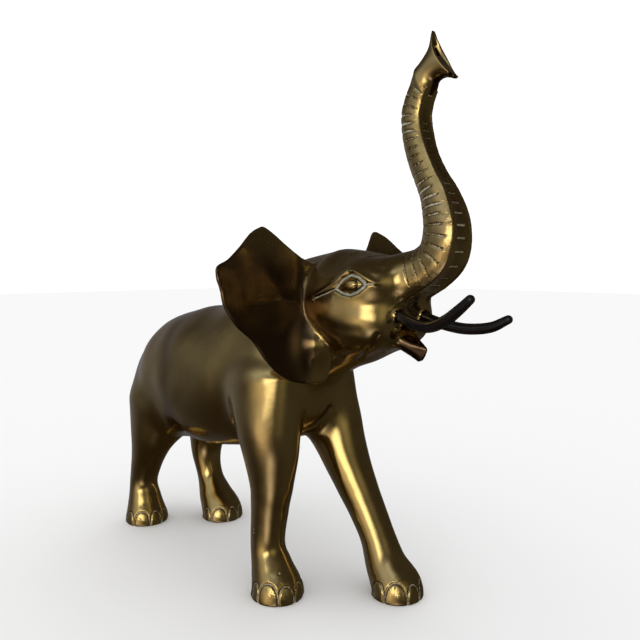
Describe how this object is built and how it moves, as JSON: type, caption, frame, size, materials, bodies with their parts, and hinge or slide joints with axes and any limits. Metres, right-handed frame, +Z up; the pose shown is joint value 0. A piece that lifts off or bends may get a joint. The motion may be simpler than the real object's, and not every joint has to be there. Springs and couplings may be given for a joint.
{
  "type": "elephant figurine",
  "caption": "Cast brass elephant figurine in mid stride with its trunk raised high, spread ears and dark tusks beside an open mouth.",
  "frame": {"origin": "on the floor, under the middle of the part's box", "axes": "+Z up, -Y the way the elephant faces, +X its left side"},
  "size_m": [0.227, 0.41, 0.4215],
  "materials": {
    "brass": "polished, aged to a dark olive brown",
    "dark_horn": "smooth semi-gloss black-brown"
  },
  "bodies": {
    "root": {"elephant_body": "brass", "tusk_right": "dark_horn", "tusk_left": "dark_horn"}
  },
  "joints": []
}
